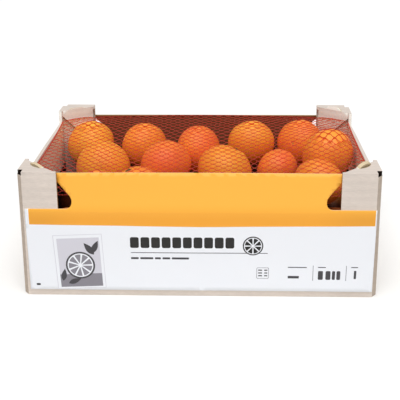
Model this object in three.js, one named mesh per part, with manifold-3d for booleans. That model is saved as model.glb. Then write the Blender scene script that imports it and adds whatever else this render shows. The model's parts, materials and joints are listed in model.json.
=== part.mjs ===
// Box of mandarins: an open corrugated tray with four hollow corner posts, a printed front card,
// a net stretched over the fruit, and the mandarins themselves.
// Millimetres, +Z up, the front towards -Y. The origin is the middle of the base.

import * as THREE from 'three';
import { mergeVertices } from 'three/addons/utils/BufferGeometryUtils.js';
import Module from 'manifold-3d';

const manifold = await Module();
manifold.setup();

// ---- Driving dimensions ----

const WIDTH = 300;              // across the front, outside, at the top of the posts
const DEPTH = 225;              // front face of the card to the back of the tray
const POST_TOP = 111.5;         // height of the top flaps of the posts
const BOARD = 3;                // thickness of the corrugated board
const CARD = 1.2;               // thickness of the front card
const GAP = 0.3;                // play between pieces that touch
const LEAN_IN = 1.5;            // how much further out each side is at the base than at the top

const SIDE = WIDTH / 2;
const FRONT = -DEPTH / 2 + CARD + GAP;
const BACK = DEPTH / 2;

const END_WALL_TOP = 98.5;
const BACK_WALL_TOP = 100.5;
const FRONT_WALL_TOP = 73;

const FLANGE = 33;              // leg of a post along the front or the back
const FRONT_LEG = 36;           // leg of a front post along the end wall
const BACK_LEG = 31;            // the same of a back post,
const BACK_RETURN = 8;          // whose slanting panel starts this far in from the back
const FOLD_X = 4;               // folded corner strip: its part along the front
const FOLD_Y = 5;               // and its part along the side
const NOTCH_X = 4.2;            // hole where the top flap meets the corner strip
const NOTCH_Y = 7;
const NOTCH_DEPTH = 9;

const PANEL_SLANT_TOP = 108.5;  // the slanting panel of a post leaves the end wall at this height,
const PANEL_SLANT_FOOT = 87;    // is cut back down to this height
const PANEL_SLANT_RUN = 23;     // by this much of its length,
const PANEL_INSET = 1.6;        // and stops short of the cut edge of the flange
const TAB_CENTRE = 21.5;        // half-moon stacking tab, measured from the end wall
const TAB_HALF_LENGTH = 8.6;
const TAB_RISES = [3.6, 1.3, 1.8, 4]; // how far each stands up, in the order of the corners
const TAB_HOLE_REACH = 5.4;     // the hole that a tab leaves in the top flap
const TAB_HOLE_PLAY = 0.8;

const WINDOW_OUTER = SIDE - FLANGE;   // openings beside the posts
const WINDOW_INNER = 105.5;
const WINDOW_FOOT = 79;
const WINDOW_ROUND = 6;
const BACK_WINDOW_TOP = 97.5;

const CARD_FOOT = 5.5;
const CARD_LEFT = -145;
const CARD_RIGHT = 147;
const CARD_BEND = 77;           // above this height the card leans back
const CARD_LEAN = THREE.MathUtils.degToRad(11.5);
const CARD_HALF = 118.2;        // the upper part passes behind the flanges
const CARD_WINDOW_TOP = 28;     // heights on the leaning part, measured from the bend
const CARD_SHOULDER = 34;
const CARD_ARCH = 1.8;

const FLATTENING = 0.9;         // height of a mandarin over its width
const FRUIT_GAP = 0.6;

const NET_THICKNESS = 1;
const NET_CLEARANCE = 1.7;      // from the fruit
const NET_EDGE_PLAY = 0.5;      // from the walls, the posts and the card
const NET_CELL = 10;            // spacing of the points of the sheet
const NET_FRONT = 106.3;        // distance of its front edge, behind the card
const NET_FRONT_HEIGHT = 90;
const NET_SIDE_HEIGHT = 97;
const NET_BACK_HEIGHT = 101;    // in the middle of the back wall
const NET_POST_HEIGHT = 98.8;   // where the back wall meets a post
const NET_CORNER_HEIGHT = 104;  // where the end wall meets a back post

// ---- Materials ----

const boardMaterial = new THREE.MeshStandardMaterial({ color: 0xd9cdc1, roughness: 0.9, metalness: 0 });
const cardMaterial = new THREE.MeshStandardMaterial({ color: 0xf5b04a, roughness: 0.55, metalness: 0 });
const netMaterial = new THREE.MeshStandardMaterial({ color: 0xbe3a2f, roughness: 0.5, metalness: 0 });
const peelMaterial = new THREE.MeshStandardMaterial({ color: 0xf28527, roughness: 0.45, metalness: 0 });

// ---- Solids: three.js makes the shapes, manifold joins and cuts them ----

function solidOf(geometry) {
  const bare = geometry.clone();
  bare.deleteAttribute('normal');
  bare.deleteAttribute('uv');
  const merged = mergeVertices(bare, 1e-4);
  return new manifold.Manifold(new manifold.Mesh({
    numProp: 3,
    vertProperties: new Float32Array(merged.attributes.position.array),
    triVerts: new Uint32Array(merged.index.array),
  }));
}

function geometryOf(solid) {
  const mesh = solid.getMesh();
  const geometry = new THREE.BufferGeometry();
  geometry.setAttribute('position', new THREE.BufferAttribute(mesh.vertProperties, 3));
  geometry.setIndex(new THREE.BufferAttribute(mesh.triVerts, 1));
  geometry.computeVertexNormals();
  return geometry;
}

function join(geometries) {
  return geometries.map(solidOf).reduce((whole, next) => whole.add(next));
}

function named(name, geometry, material) {
  const mesh = new THREE.Mesh(geometry, material);
  mesh.name = name;
  return mesh;
}

function outlineOf(points) {
  return new THREE.Shape(points.map(([x, y]) => new THREE.Vector2(x, y)));
}

const ALONG_X = new THREE.Vector3(1, 0, 0);
const ALONG_Y = new THREE.Vector3(0, 1, 0);
const UP = new THREE.Vector3(0, 0, 1);
const FLAT_CUT = { bevelEnabled: false, curveSegments: 6 };

// A plate whose outline runs along `along` and up `up`, and which thickens towards along x up.
function standing(outline, thickness, origin, along, up = UP) {
  const plate = new THREE.ExtrudeGeometry(outline, { ...FLAT_CUT, depth: thickness });
  const basis = new THREE.Matrix4().makeBasis(along, up, along.clone().cross(up));
  return plate.applyMatrix4(basis.setPosition(origin));
}

// A plan outline extruded from one height to another.
function lying(outline, bottom, top) {
  const plate = new THREE.ExtrudeGeometry(outline, { ...FLAT_CUT, depth: top - bottom });
  return plate.translate(0, 0, bottom);
}

// ---- Tray: floor, walls and four posts, cut and folded from one blank ----

const CORNERS = [[1, 1], [-1, 1], [-1, -1], [1, -1]];
const outsideY = (sy) => (sy < 0 ? FRONT : BACK);
const legOf = (sy) => (sy < 0 ? FRONT_LEG : BACK_LEG);

// The outer outline of the tray in plan, with its folded corners.
function trayPlan(bottom, top) {
  const points = CORNERS.flatMap(([sx, sy]) => {
    const y = outsideY(sy);
    const corner = [[sx * SIDE, y - sy * FOLD_Y], [sx * (SIDE - FOLD_X), y]];
    return sx * sy > 0 ? corner : corner.reverse();
  });
  return lying(outlineOf(points), bottom, top);
}

// Flange, folded corner strip and the raised end of the end wall: one bent strip in plan.
function cornerShell(sx, sy) {
  const y = outsideY(sy);
  const strip = [
    [SIDE - FLANGE, y],
    [SIDE - FOLD_X, y],
    [SIDE, y - sy * FOLD_Y],
    [SIDE, y - sy * legOf(sy)],
    [SIDE - BOARD, y - sy * legOf(sy)],
    [SIDE - BOARD, y - sy * (FOLD_Y + 1)],
    [SIDE - FOLD_X - 1, y - sy * BOARD],
    [SIDE - FLANGE, y - sy * BOARD],
  ];
  return lying(outlineOf(strip.map(([px, py]) => [sx * px, py])), 0, POST_TOP);
}

// The ends of the crease where the top flap of a post turns down into the slanting panel.
function creaseOf(sx, sy) {
  const y = outsideY(sy);
  const returnLength = sy < 0 ? 0 : BACK_RETURN;
  return {
    atEndWall: new THREE.Vector3(sx * SIDE, y - sy * legOf(sy), 0),
    atFlange: new THREE.Vector3(sx * (SIDE - FLANGE), y - sy * returnLength, 0),
  };
}

// The crease of a post and, where the panel starts further in, the cut edge beside it, in plan.
function innerEdgeOf(sx, sy) {
  const { atEndWall, atFlange } = creaseOf(sx, sy);
  const atOutside = new THREE.Vector3(atFlange.x, outsideY(sy), 0);
  return atFlange.equals(atOutside) ? [atEndWall, atFlange] : [atEndWall, atFlange, atOutside];
}

// The level direction from the inside of the tray into a post, square to its crease.
function outwardsOf(sx, sy) {
  const { atEndWall, atFlange } = creaseOf(sx, sy);
  const right = atFlange.clone().sub(atEndWall).normalize().cross(UP);
  return right.multiplyScalar(Math.sign(right.x * sx));
}

function topFlap(sx, sy) {
  const y = outsideY(sy);
  const outline = outlineOf([
    [sx * (SIDE - FOLD_X), y],
    [sx * SIDE, y - sy * FOLD_Y],
    ...innerEdgeOf(sx, sy).map((end) => [end.x, end.y]),
  ]);
  return lying(outline, POST_TOP - BOARD, POST_TOP);
}

// The half-moon hole in the top flap, behind the stacking tab that was cut out of it.
function tabHole(sx, sy) {
  const { atEndWall, atFlange } = creaseOf(sx, sy);
  const along = atFlange.clone().sub(atEndWall).normalize();
  const half = TAB_HALF_LENGTH + TAB_HOLE_PLAY;
  const outline = new THREE.Shape();
  outline.moveTo(half, -TAB_HOLE_PLAY);
  outline.absellipse(0, 0, half, TAB_HOLE_REACH, 0, Math.PI, false, 0);
  outline.lineTo(-half, -TAB_HOLE_PLAY);
  const out = outwardsOf(sx, sy);
  const plate = new THREE.ExtrudeGeometry(outline, { ...FLAT_CUT, depth: 3 * BOARD });
  const facesUp = along.clone().cross(out).z > 0;
  const foot = facesUp ? POST_TOP - 2 * BOARD : POST_TOP + BOARD;
  const centre = atEndWall.addScaledVector(along, TAB_CENTRE).setZ(foot);
  const basis = new THREE.Matrix4().makeBasis(along, out, along.clone().cross(out));
  return plate.applyMatrix4(basis.setPosition(centre));
}

// The panel hangs from the crease, cut on a slant towards the end wall, with the stacking tab above.
function slantingPanel(sx, sy, tabRise) {
  const { atEndWall, atFlange } = creaseOf(sx, sy);
  const along = atFlange.clone().sub(atEndWall);
  const end = along.length() - PANEL_INSET;
  along.normalize();
  const top = POST_TOP - 0.2;
  const outline = new THREE.Shape();
  outline.moveTo(1, PANEL_SLANT_TOP);
  outline.lineTo(PANEL_SLANT_RUN, PANEL_SLANT_FOOT);
  outline.lineTo(PANEL_SLANT_RUN, BOARD / 2);
  outline.lineTo(end, BOARD / 2);
  outline.lineTo(end, top);
  outline.absellipse(TAB_CENTRE, top, TAB_HALF_LENGTH, tabRise, 0, Math.PI, false, 0);
  outline.lineTo(1, top);
  const thickensInwards = along.clone().cross(UP).dot(outwardsOf(sx, sy)) < 0;
  const origin = atEndWall.addScaledVector(outwardsOf(sx, sy), thickensInwards ? BOARD : 0);
  return standing(outline, BOARD, origin, along);
}

function notch(sx, sy) {
  const box = new THREE.BoxGeometry(NOTCH_X * 2, NOTCH_Y * 2, NOTCH_DEPTH);
  return box.translate(sx * SIDE, outsideY(sy), POST_TOP - BOARD + NOTCH_DEPTH / 2);
}

function endWall(sx) {
  const from = FRONT + FRONT_LEG - 1;
  const to = BACK - BACK_LEG + 1;
  const outline = outlineOf([[from, 0], [to, 0], [to, END_WALL_TOP], [from, END_WALL_TOP]]);
  const origin = new THREE.Vector3(sx > 0 ? SIDE - BOARD : -SIDE, 0, 0);
  return standing(outline, BOARD, origin, ALONG_Y);
}

function frontOrBackWall(sy, top) {
  const half = SIDE - FLANGE + 1;
  const outline = outlineOf([[-half, 0], [half, 0], [half, top], [-half, top]]);
  const origin = new THREE.Vector3(0, sy < 0 ? FRONT + BOARD : BACK, 0);
  return standing(outline, BOARD, origin, ALONG_X);
}

function backWindow(sx) {
  const outline = new THREE.Shape();
  outline.moveTo(sx * WINDOW_OUTER, WINDOW_FOOT);
  outline.lineTo(sx * (WINDOW_INNER + WINDOW_ROUND), WINDOW_FOOT);
  outline.quadraticCurveTo(
    sx * WINDOW_INNER, WINDOW_FOOT, sx * WINDOW_INNER, WINDOW_FOOT + 1.5 * WINDOW_ROUND);
  outline.lineTo(sx * WINDOW_OUTER, BACK_WINDOW_TOP);
  return standing(outline, 3 * BOARD, new THREE.Vector3(0, BACK + BOARD, 0), ALONG_X);
}

// The sides stand a little further apart at the base than at the top.
function leanIn(geometry) {
  const position = geometry.attributes.position;
  for (let i = 0; i < position.count; i += 1) {
    const spread = 1 + (LEAN_IN / SIDE) * (1 - position.getZ(i) / POST_TOP);
    position.setX(i, position.getX(i) * spread);
  }
  return geometry;
}

function tray() {
  const posts = CORNERS.flatMap(([sx, sy]) => [cornerShell(sx, sy), topFlap(sx, sy)]);
  const panels = CORNERS.map(([sx, sy], k) => slantingPanel(sx, sy, TAB_RISES[k]));
  const endWalls = [endWall(1), endWall(-1)];
  const longWalls = [frontOrBackWall(-1, FRONT_WALL_TOP), frontOrBackWall(1, BACK_WALL_TOP)];
  const cuts = CORNERS.flatMap(([sx, sy]) => [notch(sx, sy), tabHole(sx, sy)]);
  const blank = join([trayPlan(0, BOARD), ...endWalls, ...longWalls, ...posts]);
  const opened = blank.subtract(join([...cuts, backWindow(1), backWindow(-1)]));
  const folded = opened.add(join(panels));
  return leanIn(geometryOf(folded.intersect(solidOf(trayPlan(0, 2 * POST_TOP)))));
}

// ---- Front card: upright below the bend, leaning back between the posts above it ----

function cardWings() {
  const outline = outlineOf([
    [CARD_LEFT, CARD_FOOT], [CARD_RIGHT, CARD_FOOT], [CARD_RIGHT, WINDOW_FOOT], [CARD_LEFT, WINDOW_FOOT],
  ]);
  return standing(outline, CARD, new THREE.Vector3(0, -DEPTH / 2 + CARD, 0), ALONG_X);
}

function cardTop() {
  const foot = WINDOW_FOOT - CARD_BEND;
  const outline = new THREE.Shape();
  outline.moveTo(-(WINDOW_INNER + WINDOW_ROUND), 0);
  outline.lineTo(WINDOW_INNER + WINDOW_ROUND, 0);
  outline.lineTo(WINDOW_INNER + WINDOW_ROUND, foot);
  outline.quadraticCurveTo(WINDOW_INNER, foot, WINDOW_INNER, foot + 1.5 * WINDOW_ROUND);
  outline.lineTo(CARD_HALF, CARD_WINDOW_TOP);
  outline.lineTo(CARD_HALF, CARD_SHOULDER);
  outline.quadraticCurveTo(0, CARD_SHOULDER + 2 * CARD_ARCH, -CARD_HALF, CARD_SHOULDER);
  outline.lineTo(-CARD_HALF, CARD_WINDOW_TOP);
  outline.lineTo(-WINDOW_INNER, foot + 1.5 * WINDOW_ROUND);
  outline.quadraticCurveTo(-WINDOW_INNER, foot, -(WINDOW_INNER + WINDOW_ROUND), foot);
  const up = new THREE.Vector3(0, Math.sin(CARD_LEAN), Math.cos(CARD_LEAN));
  return standing(outline, CARD, new THREE.Vector3(0, -DEPTH / 2 + CARD, CARD_BEND), ALONG_X, up);
}

// ---- Mandarins ----

// The ones that show, from the left: across, back and height of the centre, and the diameter.
const SEEN = [
  { at: [-117.3, 75, 79.5], diameter: 49 },
  { at: [-99, 31, 68], diameter: 54 },
  { at: [-62, 76, 77], diameter: 48 },
  { at: [-60.5, -21, 64], diameter: 48 },
  { at: [-37, 29.5, 71.5], diameter: 51 },
  { at: [-6, 69.5, 76], diameter: 48 },
  { at: [21, 25, 68], diameter: 54 },
  { at: [48, 81.5, 79], diameter: 49 },
  { at: [73.5, 40.5, 63], diameter: 43 },
  { at: [98.5, 81.5, 79], diameter: 48 },
  { at: [107.5, -23.5, 73], diameter: 46.5 },
  { at: [120.8, 25, 84], diameter: 52 },
];

// Rows under and in front of those, which settle on the floor and on each other.
const ROWS = [
  { count: 6, span: 294, back: -84, height: 28 },
  { count: 5, span: 294, back: -28, height: 28 },
  { count: 6, span: 294, back: 28, height: 28 },
  { count: 5, span: 294, back: 84, height: 28 },
  { count: 3, span: 200, back: -45, height: 52 },
  { count: 3, span: 160, back: -84, height: 68 },
];
const ROW_JITTER = 6;
const MEAN_DIAMETER = 50;
const DIAMETER_SPREAD = 5;

const SETTLING_STEPS = 500;
const SETTLING_DROP = 0.4;
const EASING_STEPS = 400;
const PASSES = 6;

// A small seeded generator, so that every build lays the fruit alike.
function seededRandom(seed) {
  let state = seed;
  return () => {
    state = (Math.imul(state, 1664525) + 1013904223) >>> 0;
    return state / 4294967296;
  };
}

const random = seededRandom(20);
const scattered = (middle, spread) => middle + (random() - 0.5) * spread;

// A mandarin is a flattened ball. Its stem end points anywhere but to the front.
function mandarinAt(position, diameter, shows) {
  const turn = random() * Math.PI;
  const rise = scattered(0, 2);
  const level = Math.sqrt(1 - rise * rise);
  return {
    centre: new THREE.Vector3(...position),
    radius: diameter / 2,
    stem: new THREE.Vector3(level * Math.cos(turn), level * Math.sin(turn), rise),
    shows,
  };
}

// How far a mandarin reaches from its centre along a direction.
function reach({ radius, stem }, direction) {
  return radius * Math.sqrt(1 - stem.dot(direction) ** 2 * (1 - FLATTENING ** 2));
}

// The inner faces that hold the fruit: walls, floor and the slanting panels of the posts.
function innerFaces() {
  const faces = [
    { out: new THREE.Vector3(1, 0, 0), at: SIDE - BOARD },
    { out: new THREE.Vector3(-1, 0, 0), at: SIDE - BOARD },
    { out: new THREE.Vector3(0, 1, 0), at: BACK - BOARD },
    { out: new THREE.Vector3(0, -1, 0), at: -FRONT - BOARD },
    { out: new THREE.Vector3(0, 0, -1), at: -BOARD },
  ];
  for (const [sx, sy] of CORNERS) {
    const out = outwardsOf(sx, sy);
    faces.push({ out, at: creaseOf(sx, sy).atFlange.dot(out) });
  }
  return faces;
}

function keepInside(fruit, faces) {
  for (const { out, at } of faces) {
    const excess = fruit.centre.dot(out) + reach(fruit, out) + FRUIT_GAP - at;
    if (excess > 0) {
      fruit.centre.addScaledVector(out, -excess);
    }
  }
}

// Pushes two mandarins apart; the ones that show stay where they are.
function separate(a, b) {
  const between = b.centre.clone().sub(a.centre);
  const distance = between.length();
  between.divideScalar(distance);
  const overlap = reach(a, between) + reach(b, between) + FRUIT_GAP - distance;
  if (overlap <= 0 || (a.shows && b.shows)) {
    return;
  }
  const shareOfA = a.shows ? 0 : (b.shows ? 1 : 0.5);
  a.centre.addScaledVector(between, -overlap * shareOfA);
  b.centre.addScaledVector(between, overlap * (1 - shareOfA));
}

function settle(fruits) {
  const faces = innerFaces();
  const loose = fruits.filter((fruit) => !fruit.shows);
  for (let step = 0; step < SETTLING_STEPS + EASING_STEPS; step += 1) {
    const drop = step < SETTLING_STEPS ? SETTLING_DROP : 0;
    loose.forEach((fruit) => { fruit.centre.z -= drop; });
    for (let pass = 0; pass < PASSES; pass += 1) {
      fruits.forEach((a, i) => fruits.slice(i + 1).forEach((b) => separate(a, b)));
      loose.forEach((fruit) => keepInside(fruit, faces));
    }
  }
  return fruits;
}

function layMandarins() {
  const seen = SEEN.map(({ at, diameter }) => mandarinAt(at, diameter, true));
  const hidden = ROWS.flatMap(({ count, span, back, height }) => Array.from({ length: count }, (_, k) => {
    const across = scattered(((k + 0.5) / count - 0.5) * span, ROW_JITTER);
    const position = [across, scattered(back, ROW_JITTER), height];
    return mandarinAt(position, scattered(MEAN_DIAMETER, DIAMETER_SPREAD), false);
  }));
  return settle([...seen, ...hidden]);
}

// Half an ellipse turned round the stem, with more facets on the fruit of the top layers.
function mandarinGeometry({ centre, radius, stem }) {
  const onTop = centre.z > 50;
  const rows = onTop ? 10 : 7;
  const columns = onTop ? 14 : 10;
  const profile = Array.from({ length: rows + 1 }, (_, k) => {
    const angle = (k / rows) * Math.PI - Math.PI / 2;
    const x = k === 0 || k === rows ? 0 : radius * Math.cos(angle);
    return new THREE.Vector2(x, radius * FLATTENING * Math.sin(angle));
  });
  const turn = new THREE.Quaternion().setFromUnitVectors(ALONG_Y, stem);
  const geometry = new THREE.LatheGeometry(profile, columns);
  return geometry.applyQuaternion(turn).translate(centre.x, centre.y, centre.z);
}

// ---- Net: a taut sheet over the fruit, held at the walls ----

// Height of the top of a mandarin above a point in plan, or minus infinity beside it.
function topAt({ centre, radius, stem }, x, y) {
  const squash = 1 / FLATTENING ** 2 - 1;
  const dx = x - centre.x;
  const dy = y - centre.y;
  const flat = dx * stem.x + dy * stem.y;
  const a = 1 + squash * stem.z ** 2;
  const b = squash * stem.z * flat;
  const c = dx * dx + dy * dy + squash * flat * flat - radius * radius;
  const inside = b * b - a * c;
  return inside < 0 ? -Infinity : centre.z + (-b + Math.sqrt(inside)) / a;
}

const NET_HALF = SIDE - BOARD - NET_EDGE_PLAY;
const NET_BACK = BACK - BOARD - NET_EDGE_PLAY;
const NET_DEPTH = NET_BACK + NET_FRONT;
const COLUMNS = Math.round(2 * NET_HALF / NET_CELL);
const LINES = Math.round(NET_DEPTH / NET_CELL);
const SMOOTHING_ROUNDS = 1500;

const netX = (column) => (column / COLUMNS - 0.5) * 2 * NET_HALF;
const netY = (line) => (line / LINES) * NET_DEPTH - NET_FRONT;

// The edge is lowest along the walls and climbs on the slanting panels of the back posts.
function netEdgeHeight(x, y) {
  if (y <= -NET_FRONT) {
    return NET_FRONT_HEIGHT;
  }
  if (y < NET_BACK) {
    return NET_SIDE_HEIGHT + (NET_CORNER_HEIGHT - NET_SIDE_HEIGHT) * Math.max(0, y / NET_BACK) ** 2;
  }
  const fromMiddle = Math.abs(x) / WINDOW_OUTER;
  if (fromMiddle < 1) {
    return NET_BACK_HEIGHT + (NET_POST_HEIGHT - NET_BACK_HEIGHT) * fromMiddle ** 2;
  }
  const pastPost = (Math.abs(x) - WINDOW_OUTER) / (NET_HALF - WINDOW_OUTER);
  return NET_POST_HEIGHT + (NET_CORNER_HEIGHT - NET_POST_HEIGHT) * pastPost;
}

// Each point of the sheet takes the mean height of its neighbours unless fruit holds it higher.
function tautHeights(fruits) {
  const isEdge = (i, j) => i === 0 || j === 0 || i === COLUMNS || j === LINES;
  const lowest = [];
  const height = [];
  for (let i = 0; i <= COLUMNS; i += 1) {
    lowest.push(Array.from({ length: LINES + 1 }, (_, j) => {
      const tops = fruits.map((fruit) => topAt(fruit, netX(i), netY(j)));
      return Math.max(...tops) + NET_CLEARANCE + NET_THICKNESS / 2;
    }));
    height.push(lowest[i].map((held, j) => (
      isEdge(i, j) ? netEdgeHeight(netX(i), netY(j)) : Math.max(held, NET_SIDE_HEIGHT)
    )));
  }
  for (let round = 0; round < SMOOTHING_ROUNDS; round += 1) {
    for (let i = 1; i < COLUMNS; i += 1) {
      for (let j = 1; j < LINES; j += 1) {
        const mean = (height[i - 1][j] + height[i + 1][j] + height[i][j - 1] + height[i][j + 1]) / 4;
        height[i][j] = Math.max(mean, lowest[i][j]);
      }
    }
  }
  return height;
}

// The plan inside the walls and the four slanting panels.
function netPlan() {
  const points = CORNERS.flatMap(([sx, sy]) => {
    const edge = innerEdgeOf(sx, sy);
    const ends = sx * sy > 0 ? edge : edge.reverse();
    return ends.map((end) => end.addScaledVector(outwardsOf(sx, sy), -NET_EDGE_PLAY));
  });
  return lying(outlineOf(points.map(({ x, y }) => [x, y])), 0, 2 * POST_TOP);
}

function net(fruits) {
  const height = tautHeights(fruits);
  const sheet = new THREE.BoxGeometry(2 * NET_HALF, NET_DEPTH, NET_THICKNESS, COLUMNS, LINES, 1);
  sheet.translate(0, NET_DEPTH / 2 - NET_FRONT, 0);
  const position = sheet.attributes.position;
  for (let k = 0; k < position.count; k += 1) {
    const column = Math.round((position.getX(k) / (2 * NET_HALF) + 0.5) * COLUMNS);
    const line = Math.round(((position.getY(k) + NET_FRONT) / NET_DEPTH) * LINES);
    position.setZ(k, position.getZ(k) + height[column][line]);
  }
  return geometryOf(solidOf(sheet).intersect(solidOf(netPlan())));
}

// ---- The whole box ----

const mandarins = layMandarins();

const box = new THREE.Group();
box.add(named('tray', tray(), boardMaterial));
box.add(named('card', geometryOf(join([cardWings(), cardTop()])), cardMaterial));
box.add(named('net', net(mandarins), netMaterial));
mandarins.forEach((mandarin, k) => {
  const name = `mandarin_${String(k + 1).padStart(2, '0')}`;
  box.add(named(name, mandarinGeometry(mandarin), peelMaterial));
});

export default box;
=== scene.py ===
"""Box of mandarins: an open corrugated tray with hollow corner posts and a printed front card, heaped with
mandarins under a taut red net.

Metres, +Z up, the front towards -Y, the middle of the base at the origin. Named sizes are in millimetres.
"""

import json
import math
import random

import bmesh
import bpy
import numpy as np
from bpy.props import FloatProperty, FloatVectorProperty, IntProperty, PointerProperty
from mathutils import Matrix, Vector, noise
from mathutils.bvhtree import BVHTree

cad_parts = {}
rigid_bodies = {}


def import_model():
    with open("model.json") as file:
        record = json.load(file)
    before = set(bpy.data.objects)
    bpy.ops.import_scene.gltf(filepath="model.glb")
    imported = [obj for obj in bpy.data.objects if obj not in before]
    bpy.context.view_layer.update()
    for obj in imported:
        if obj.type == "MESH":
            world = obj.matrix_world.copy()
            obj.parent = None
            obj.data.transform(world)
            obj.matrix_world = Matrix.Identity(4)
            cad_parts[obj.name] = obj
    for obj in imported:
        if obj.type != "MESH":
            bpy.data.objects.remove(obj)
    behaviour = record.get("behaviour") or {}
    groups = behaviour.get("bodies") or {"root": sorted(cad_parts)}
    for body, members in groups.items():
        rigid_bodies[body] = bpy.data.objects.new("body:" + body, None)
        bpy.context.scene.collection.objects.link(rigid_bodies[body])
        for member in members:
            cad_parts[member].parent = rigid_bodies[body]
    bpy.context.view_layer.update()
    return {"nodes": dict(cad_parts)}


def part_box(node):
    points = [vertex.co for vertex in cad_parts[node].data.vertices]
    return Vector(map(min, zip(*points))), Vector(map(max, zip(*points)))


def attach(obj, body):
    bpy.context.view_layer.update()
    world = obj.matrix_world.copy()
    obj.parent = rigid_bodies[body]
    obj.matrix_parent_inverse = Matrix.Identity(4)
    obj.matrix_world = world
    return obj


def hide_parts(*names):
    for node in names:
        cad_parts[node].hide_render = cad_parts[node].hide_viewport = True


bl_info = {
    "name": "Box of mandarins",
    "version": (1, 0, 0),
    "blender": (4, 5, 0),
    "location": "3D View > Sidebar > Mandarins",
    "description": "Dresses a cardboard tray of mandarins: board, printed card, net, fruit and stage",
    "category": "Object",
}

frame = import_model()

MM = 0.001
NOISE_SEED = 3        # noise vectors differ from run to run without one
WELD = 0.01 * MM      # points closer together than this are one point
FACING = 0.9          # a face looks along an axis when this much of its normal does

CARD_LOW, CARD_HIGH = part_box("card")
TRAY_LOW, TRAY_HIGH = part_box("tray")
NET_LOW, NET_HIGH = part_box("net")
MANDARINS = sorted(name for name in frame["nodes"] if name.startswith("mandarin_"))


def linear(hex_colour):
    """The linear RGBA that a shader takes, from an sRGB hex colour."""
    channels = [int(hex_colour[k:k + 2], 16) / 255 for k in (1, 3, 5)]
    curve = [c / 12.92 if c <= 0.04045 else ((c + 0.055) / 1.055) ** 2.4 for c in channels]
    return (*curve, 1.0)


def colour(name, description, hex_colour):
    """A colour that the user can change."""
    return FloatVectorProperty(
        name=name, description=description, default=linear(hex_colour), size=4, subtype="COLOR", min=0,
        max=1)


def length(name, description, millimetres):
    """A length that the user can change."""
    return FloatProperty(
        name=name, description=description, default=millimetres * MM, unit="LENGTH", subtype="DISTANCE")


# ---- Settings ----

class TrayLook(bpy.types.PropertyGroup):
    """Sizes and colours of the corrugated board."""
    board: length("Board", "Thickness of the corrugated board", 3.0)
    flute_pitch: length("Flute pitch", "From one flute of the board to the next", 7.0)
    fold_radius: length("Fold radius", "How round the board is where it is folded", 0.8)
    warp: length("Warp", "How far the walls bow in and out", 0.35)
    liner_colour: colour("Liner", "The bleached liner, which is the outer paper of the board", "#D8CCC2")
    # Painted shade: the liner of the folded corner strips is darker, as they face away from the light.
    fold_strip_shade_colour: colour("Fold strips, painted shade", "The liner of the folded corner strips", "#B6A799")
    kraft_colour: colour("Kraft", "The brown inner paper and the flutes", "#7E5236")
    edge_colour: colour("Cut edge", "Paper where the board is cut", "#A98556")
    tab_colour: colour("Tabs", "Paler brown paper of the stacking tabs", "#DCC9A8")
    # Painted light: the liner of the slanting panels, the tabs' inner faces, the inner ply and the upper
    # inner walls is lightened.
    liner_painted_light_colour: colour("Panels", "Liner of the slanting panels and inner walls, lightened as painted light", "#F7F5EC")
    # Painted shade: near-black for the post hollows, the corner holes and the walls behind the fruit.
    painted_shade_colour: colour("Hollows", "Painted shade: near-black paper in the posts, the corner holes and behind the fruit", "#1E120A")


class CardLook(bpy.types.PropertyGroup):
    """Sizes and colours of the printed card on the front."""
    bend_height: length("Bend", "Height above which the card leans back", 77.0)
    lean: FloatProperty(
        name="Lean", description="How far the upper part leans back",
        default=math.radians(11.5), unit="ROTATION", subtype="ANGLE")
    thickness: length("Thickness", "Thickness of the card", 1.1)
    field_height: length("White field", "Height of the white field at the middle of the card", 64.2)
    yellow: colour("Yellow", "The large field of yellow ink, above the bend", "#FDB641")
    # Painted shade: the yellow is darker below the bend and darker still at the ends.
    yellow_painted_shade_below: colour("Yellow below", "The yellow below the bend, darkened as painted shade", "#F3A52C")
    yellow_painted_shade_ends: colour("Yellow at the ends", "The yellow at both ends of the lower strip, darker still as painted shade", "#E99F2B")
    white: colour("White", "The unprinted white coat", "#ECEEF3")
    ink: colour("Ink", "Black ink of the blocks and bars", "#191715")
    dark_ink: colour("Dark grey ink", "Ink of the small bars and the leaves", "#3F3D41")
    grey_ink: colour("Grey ink", "Ink of the middle greys", "#85828A")
    pale_ink: colour("Pale grey ink", "Ink behind the picture", "#CFCDD6")
    reverse: colour("Reverse", "The uncoated back of the card", "#B9A48C")
    # Painted highlight: the cut edge's colour also lights a thin band along the yellow front edge.
    rim: colour("Cut edge", "Edge of the card, and the painted highlight along its front edge", "#F6E6CC")


class NetLook(bpy.types.PropertyGroup):
    """Sizes and colour of the net."""
    strand: length("Strand", "Width of a strand between two joints", 0.7)
    joint: length("Joint", "Width of a strand where it is joined to the next", 1.5)
    cell_width: length("Cell width", "From one joint to the next along a strand", 9.5)
    cell_depth: length("Cell depth", "How far a cell opens, from the front to the back", 10.0)
    pull: length("Pull", "How far the net is pulled aside in places", 4.0)
    red: colour("Net", "Red polyethylene", "#CC5443")
    passed: colour("Passed light", "The light that a strand lets through", "#FFBCAA")
    cover: FloatProperty(
        name="Cover", description="How much of a strand sends light back", default=0.38, min=0, max=1)


class FruitLook(bpy.types.PropertyGroup):
    """Sizes and colours of the mandarins."""
    pore_pitch: length("Pores", "From one oil gland in the peel to the next", 1.1)
    columns: IntProperty(
        name="Columns", description="Faces around a mandarin that shows", default=72, min=12)
    yellow_peel: colour("Yellow peel", "Peel of the least ripe fruit", "#FFB93C")
    orange_peel: colour("Orange peel", "Peel of most of the fruit", "#FFA037")
    red_peel: colour("Red peel", "Peel of the ripest fruit", "#FB823F")
    # Painted shade on the buried fruit, darker the deeper it lies.
    peel_painted_shade: colour("Peel in painted shade", "Painted shade: dark brown on the peel deep in the heap", "#421B08")
    pores: colour("Pore colour", "The oil glands in the peel", "#C9571B")
    scars: colour("Scars", "Healed scratches in the peel", "#8B8A4E")
    calyx: colour("Calyx", "The dried green star at the stem end", "#6F7440")
    calyx_brown: colour("Brown of the calyx", "The calyx where it is driest", "#5A4326")


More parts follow.
